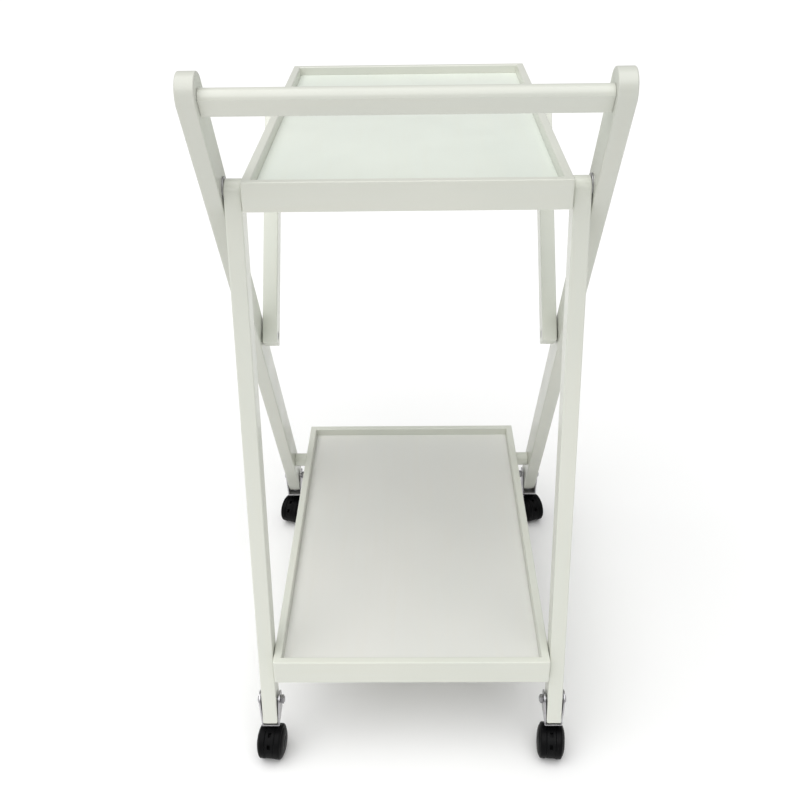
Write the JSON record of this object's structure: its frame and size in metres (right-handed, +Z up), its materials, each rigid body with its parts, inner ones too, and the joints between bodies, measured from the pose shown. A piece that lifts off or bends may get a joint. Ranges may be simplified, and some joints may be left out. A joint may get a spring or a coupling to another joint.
{
  "type": "rolling salon trolley",
  "caption": "White wooden folding trolley for a salon: sloping handle legs with a grip bar, shallow upper and lower trays, hinged inner legs and struts, and twin-wheel swivel casters.",
  "frame": {"origin": "on the floor under the centre of the trolley's box", "axes": "+Z up; the handle end faces -Y, so that someone pushing the trolley looks along +Y with +X on the right"},
  "size_m": [0.497, 0.7368, 0.9374],
  "materials": {
    "white_lacquer": "satin",
    "white_panel": "satin",
    "zinc_steel": "satin",
    "black_plastic": "satin",
    "black_tyre": "gloss"
  },
  "bodies": {
    "handle_frame": {"handle_leg_right": "white_lacquer", "handle_leg_left": "white_lacquer", "handle_bar": "white_lacquer", "handle_screws": "zinc_steel", "pivot_washers": "zinc_steel", "pivot_bolts": "zinc_steel", "lower_pivot_bolts": "zinc_steel", "strut_bolts": "zinc_steel", "strut_nuts": "zinc_steel", "tray_spacers": "white_lacquer", "far_bracket_right": "zinc_steel", "far_bracket_left": "zinc_steel", "far_bracket_bolts": "zinc_steel", "far_bracket_nuts": "zinc_steel", "far_stems": "zinc_steel"},
    "inner_legs": {"inner_leg_right": "white_lacquer", "inner_leg_left": "white_lacquer", "catch_pins": "zinc_steel", "near_bracket_right": "zinc_steel", "near_bracket_left": "zinc_steel", "near_bracket_bolts": "zinc_steel", "near_bracket_nuts": "zinc_steel", "near_stems": "zinc_steel"},
    "upper_tray": {"upper_tray_right_rail": "white_lacquer", "upper_tray_left_rail": "white_lacquer", "upper_tray_near_rail": "white_lacquer", "upper_tray_far_rail": "white_lacquer", "upper_tray_panel": "white_panel", "strut_dowels": "white_lacquer"},
    "lower_tray": {"lower_tray_right_rail": "white_lacquer", "lower_tray_left_rail": "white_lacquer", "lower_tray_near_rail": "white_lacquer", "lower_tray_far_rail": "white_lacquer", "lower_tray_panel": "white_panel"},
    "tray_struts": {"strut_right": "white_lacquer", "strut_left": "white_lacquer"},
    "far_right_caster": {"far_right_caster_housing": "black_plastic", "far_right_caster_axle": "zinc_steel"},
    "far_right_wheel_outer_body": {"far_right_wheel_outer": "black_tyre"},
    "far_right_wheel_inner_body": {"far_right_wheel_inner": "black_tyre"},
    "far_left_caster": {"far_left_caster_housing": "black_plastic", "far_left_caster_axle": "zinc_steel"},
    "far_left_wheel_outer_body": {"far_left_wheel_outer": "black_tyre"},
    "far_left_wheel_inner_body": {"far_left_wheel_inner": "black_tyre"},
    "near_right_caster": {"near_right_caster_housing": "black_plastic", "near_right_caster_axle": "zinc_steel"},
    "near_right_wheel_outer_body": {"near_right_wheel_outer": "black_tyre"},
    "near_right_wheel_inner_body": {"near_right_wheel_inner": "black_tyre"},
    "near_left_caster": {"near_left_caster_housing": "black_plastic", "near_left_caster_axle": "zinc_steel"},
    "near_left_wheel_outer_body": {"near_left_wheel_outer": "black_tyre"},
    "near_left_wheel_inner_body": {"near_left_wheel_inner": "black_tyre"}
  },
  "joints": [
    {"name": "main_fold", "type": "hinge", "parent": "handle_frame", "child": "inner_legs", "pos_m": [0, -0.1971, 0.7915], "axis": [1, 0, 0], "range_deg": [0, 34.12]},
    {"name": "lower_tray_fold", "type": "hinge", "parent": "handle_frame", "child": "lower_tray", "pos_m": [0, 0.17543, 0.154], "axis": [-1, 0, 0], "range_deg": [0, 59.75]},
    {"name": "upper_tray_fold", "type": "hinge", "parent": "handle_frame", "child": "upper_tray", "pos_m": [0, -0.1971, 0.7915], "axis": [-1, 0, 0], "range_deg": [0, 46.85]},
    {"name": "strut_fold", "type": "hinge", "parent": "handle_frame", "child": "tray_struts", "pos_m": [0, -0.03728, 0.518], "axis": [-1, 0, 0], "range_deg": [0, 102.48]},
    {"name": "far_right_swivel", "type": "hinge", "parent": "handle_frame", "child": "far_right_caster", "pos_m": [0.2207, 0.2099, 0.06], "axis": [0, 0, 1], "continuous": true},
    {"name": "far_right_outer_roll", "type": "hinge", "parent": "far_right_caster", "child": "far_right_wheel_outer_body", "pos_m": [0.23799, 0.2013, 0.025], "axis": [0.9397, 0.342, 0], "continuous": true},
    {"name": "far_right_inner_roll", "type": "hinge", "parent": "far_right_caster", "child": "far_right_wheel_inner_body", "pos_m": [0.21299, 0.1922, 0.025], "axis": [0.9397, 0.342, 0], "continuous": true},
    {"name": "far_left_swivel", "type": "hinge", "parent": "handle_frame", "child": "far_left_caster", "pos_m": [-0.2207, 0.2099, 0.06], "axis": [0, 0, 1], "continuous": true},
    {"name": "far_left_outer_roll", "type": "hinge", "parent": "far_left_caster", "child": "far_left_wheel_outer_body", "pos_m": [-0.23799, 0.2013, 0.025], "axis": [0.9397, -0.342, 0], "continuous": true},
    {"name": "far_left_inner_roll", "type": "hinge", "parent": "far_left_caster", "child": "far_left_wheel_inner_body", "pos_m": [-0.21299, 0.1922, 0.025], "axis": [0.9397, -0.342, 0], "continuous": true},
    {"name": "near_right_swivel", "type": "hinge", "parent": "inner_legs", "child": "near_right_caster", "pos_m": [0.1985, -0.3282, 0.06], "axis": [0, 0, 1], "continuous": true},
    {"name": "near_right_outer_roll", "type": "hinge", "parent": "near_right_caster", "child": "near_right_wheel_outer_body", "pos_m": [0.21053, -0.34331, 0.025], "axis": [0.9962, -0.0872, 0], "continuous": true},
    {"name": "near_right_inner_roll", "type": "hinge", "parent": "near_right_caster", "child": "near_right_wheel_inner_body", "pos_m": [0.18403, -0.34099, 0.025], "axis": [0.9962, -0.0872, 0], "continuous": true},
    {"name": "near_left_swivel", "type": "hinge", "parent": "inner_legs", "child": "near_left_caster", "pos_m": [-0.1985, -0.3282, 0.06], "axis": [0, 0, 1], "continuous": true},
    {"name": "near_left_outer_roll", "type": "hinge", "parent": "near_left_caster", "child": "near_left_wheel_outer_body", "pos_m": [-0.21319, -0.34073, 0.025], "axis": [0.9945, -0.1045, 0], "continuous": true},
    {"name": "near_left_inner_roll", "type": "hinge", "parent": "near_left_caster", "child": "near_left_wheel_inner_body", "pos_m": [-0.18674, -0.34351, 0.025], "axis": [0.9945, -0.1045, 0], "continuous": true}
  ],
  "couplings": [
    {"joint": "lower_tray_fold", "follows": "main_fold", "ratio": 1.7497},
    {"joint": "upper_tray_fold", "follows": "main_fold", "ratio": 1.3716},
    {"joint": "strut_fold", "follows": "main_fold", "ratio": 3.0021}
  ]
}
